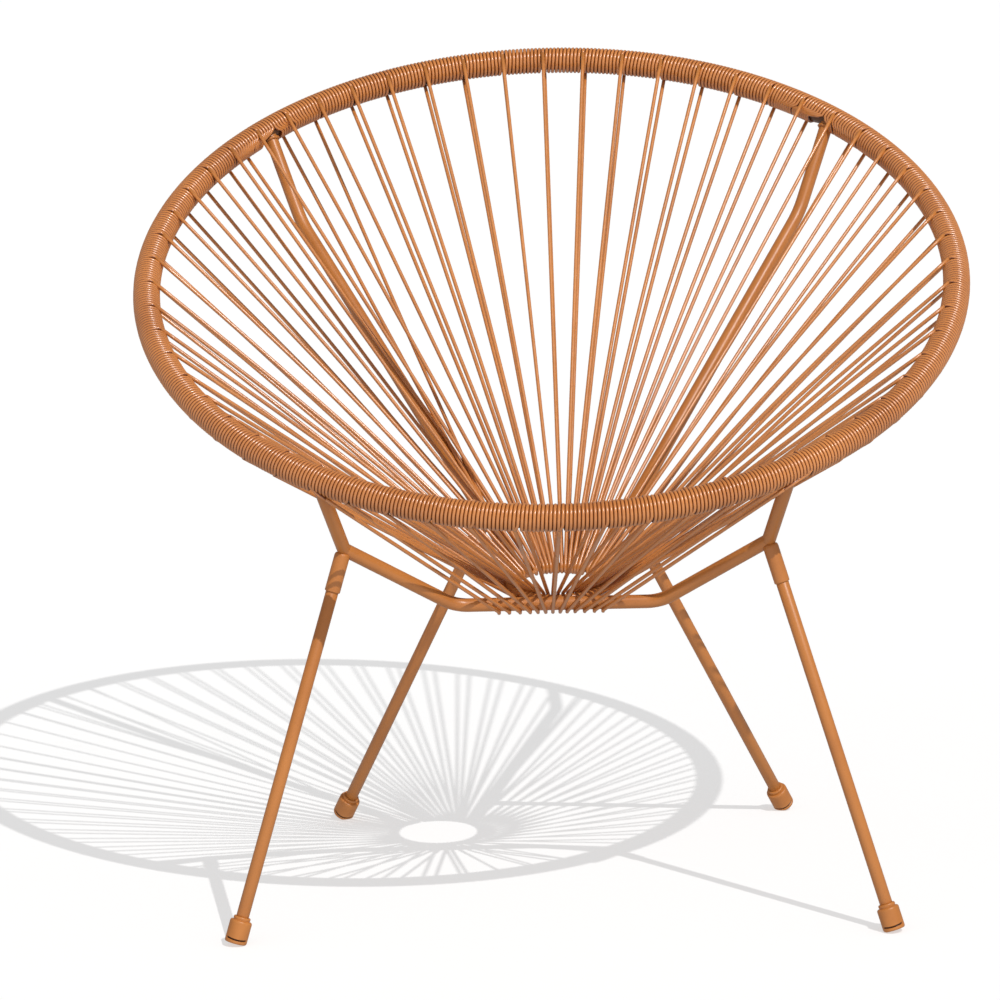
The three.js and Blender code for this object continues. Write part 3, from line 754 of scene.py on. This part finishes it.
def cord_path(k):
    """Inner strand down, loop round the lower ring, outer strand back up."""
    i, o = inner[k], outer[k]
    lead = unit(i["p"] - i["q"])
    n = 26
    t = np.linspace(0, 1, n)[:, None]
    down = i["p"] + (i["q"] - i["p"]) * t
    down[0] = i["p"] + lead * 0.4
    ref_down = i["ta"] + (i["tb"] - i["ta"]) * t if float(i["ta"] @ i["tb"]) > 0 else i["ta"] + (-i["tb"] - i["ta"]) * t
    sign = 1.0 if float(i["ta"] @ i["tb"]) > 0 else -1.0
    al0 = i["alpha"] % (2 * math.pi)
    under = abs(k) >= REROUTED
    if not under:
        al1 = o["alpha"] % (2 * math.pi)
        loop, ref_loop = loop_points(i["psi"], o["psi"], al0, al1)
        up = o["q"] + (o["p"] - o["q"]) * t
        up = clear_of_tube(up, o["ua"] * -1.0, SUPPORT + CORD + 0.1) if abs(k) <= 12 else up
        up[-1] = o["p"] + unit(o["p"] - o["q"]) * 0.4
        ref_up = sign * o["tb"] + (o["ta"] - sign * o["tb"]) * t
    else:
        f = (RUN_Y - o["p"][1]) / (o["q"][1] - o["p"][1])
        centre = np.array([o["p"][0] + (o["q"][0] - o["p"][0]) * f, RUN_Y, RUN_Z])
        d = unit(centre - o["p"])
        u = unit(np.cross(EX, d))
        u = u if u[2] < 0 else -u
        frm = math.atan2(u[2], u[1])
        reach = SUPPORT + CORD
        angs = np.linspace(math.radians(-28), frm, 9)
        arc = centre + reach * (np.cos(angs)[:, None] * EY + np.sin(angs)[:, None] * EZ)
        al1 = math.radians(236)
        loop, ref_loop = loop_points(i["psi"], o["psi"], al0, al1, 12)
        t2 = np.linspace(0, 1, 14)[1:, None]
        tail = arc[-1] + (o["p"] - arc[-1]) * t2
        up = np.concatenate([arc, tail])
        tt = np.linspace(0, 1, len(up))[:, None]
        ref_up = sign * o["tb"] + (o["ta"] - sign * o["tb"]) * tt
        up[-1] = o["p"] + unit(o["p"] - arc[-1]) * 0.4
    pts = np.concatenate([down, loop[1:-1], up])
    ref = np.concatenate([ref_down, sign * ref_loop[1:-1], ref_up])
    return pts, ref


for label, first, last in SECTORS:
    m = Mesh()
    for k in range(first, last + 1):
        kk = k if k <= 30 else k - 60
        pts, ref = cord_path(kk)
        m.tube(pts, CORD_V, ref, sides=8)
    keep(m.make(f"strands_{label}", STRAND, inside=True), [f"seat_cord_{label}"])

# ---- floor, light and camera ----
fm = bpy.data.meshes.new("floor")
fm.from_pydata([(-30, -30, -0.0006), (30, -30, -0.0006), (30, 30, -0.0006), (-30, 30, -0.0006)], [], [(0, 1, 2, 3)])
fm.materials.append(floor_material("pale_floor"))
floor = bpy.data.objects.new("floor", fm)
bpy.context.scene.collection.objects.link(floor)
floor.visible_diffuse = False
floor.visible_glossy = False

world = bpy.data.worlds.new("studio")
bpy.context.scene.world = world
world.use_nodes = True
wt = world.node_tree
wt.nodes.clear()
wout = wt.nodes.new("ShaderNodeOutputWorld")
wbg = wt.nodes.new("ShaderNodeBackground")
wco = wt.nodes.new("ShaderNodeTexCoord")
wsep = wt.nodes.new("ShaderNodeSeparateXYZ")
wt.links.new(wco.outputs["Generated"], wsep.inputs[0])
wramp = wt.nodes.new("ShaderNodeValToRGB")
wmap = wt.nodes.new("ShaderNodeMapRange")
wmap.inputs["From Min"].default_value, wmap.inputs["From Max"].default_value = -1.0, 1.0
wt.links.new(wsep.outputs[2], wmap.inputs["Value"])
wt.links.new(wmap.outputs[0], wramp.inputs[0])
el = wramp.color_ramp.elements
el[0].position, el[0].color = 0.05, (0.80, 0.79, 0.78, 1)
el[1].position, el[1].color = 0.95, (0.42, 0.42, 0.43, 1)
for pos, grey in ((0.40, 0.86), (0.52, 0.74), (0.68, 0.58)):
    x = el.new(pos)
    x.color = (grey, grey, grey, 1)
wt.links.new(wramp.outputs[0], wbg.inputs["Color"])
wfront = wt.nodes.new("ShaderNodeMapRange")
wfront.inputs["From Min"].default_value, wfront.inputs["From Max"].default_value = 0.4, -1.0
wfront.inputs["To Min"].default_value, wfront.inputs["To Max"].default_value = 0.56, 1.25
wt.links.new(wsep.outputs[1], wfront.inputs["Value"])
wt.links.new(wfront.outputs[0], wbg.inputs["Strength"])
wpath = wt.nodes.new("ShaderNodeLightPath")
wwhite = wt.nodes.new("ShaderNodeBackground")
wwhite.inputs["Color"].default_value = (1, 1, 1, 1)
wmix = wt.nodes.new("ShaderNodeMixShader")
wt.links.new(wpath.outputs["Is Camera Ray"], wmix.inputs[0])
wt.links.new(wbg.outputs[0], wmix.inputs[1])
wt.links.new(wwhite.outputs[0], wmix.inputs[2])
wt.links.new(wmix.outputs[0], wout.inputs[0])

sun = bpy.data.lights.new("key", "SUN")
sun.energy = 2.46
sun.angle = math.radians(0.45)
sun.color = (1.0, 0.985, 0.965)
sun_obj = bpy.data.objects.new("key", sun)
bpy.context.scene.collection.objects.link(sun_obj)
ray = unit([-0.422, 0.650, -1.0])
sun_obj.rotation_mode = "QUATERNION"
sun_obj.rotation_quaternion = Vector(ray).to_track_quat("-Z", "Y")

CAM_ROWS = np.array([[0.9996757, 0.0086943, -0.0239364],
                     [-0.0216280, -0.2063839, -0.9782320],
                     [-0.0134451, 0.9784325, -0.2061289]])
cam_data = bpy.data.cameras.new("camera")
cam_data.sensor_width = 36.0
cam_data.lens = 198.12
cam_data.clip_start, cam_data.clip_end = 0.1, 200.0
cam = bpy.data.objects.new("camera", cam_data)
bpy.context.scene.collection.objects.link(cam)
rot = np.eye(4)
rot[:3, 0], rot[:3, 1], rot[:3, 2] = CAM_ROWS[0], -CAM_ROWS[1], -CAM_ROWS[2]
rot[:3, 3] = np.array([17.441, -5203.510, 1452.621]) * 0.001
cam.matrix_world = Matrix(rot.tolist())
bpy.context.scene.camera = cam
bpy.context.scene.view_settings.view_transform = "Standard"
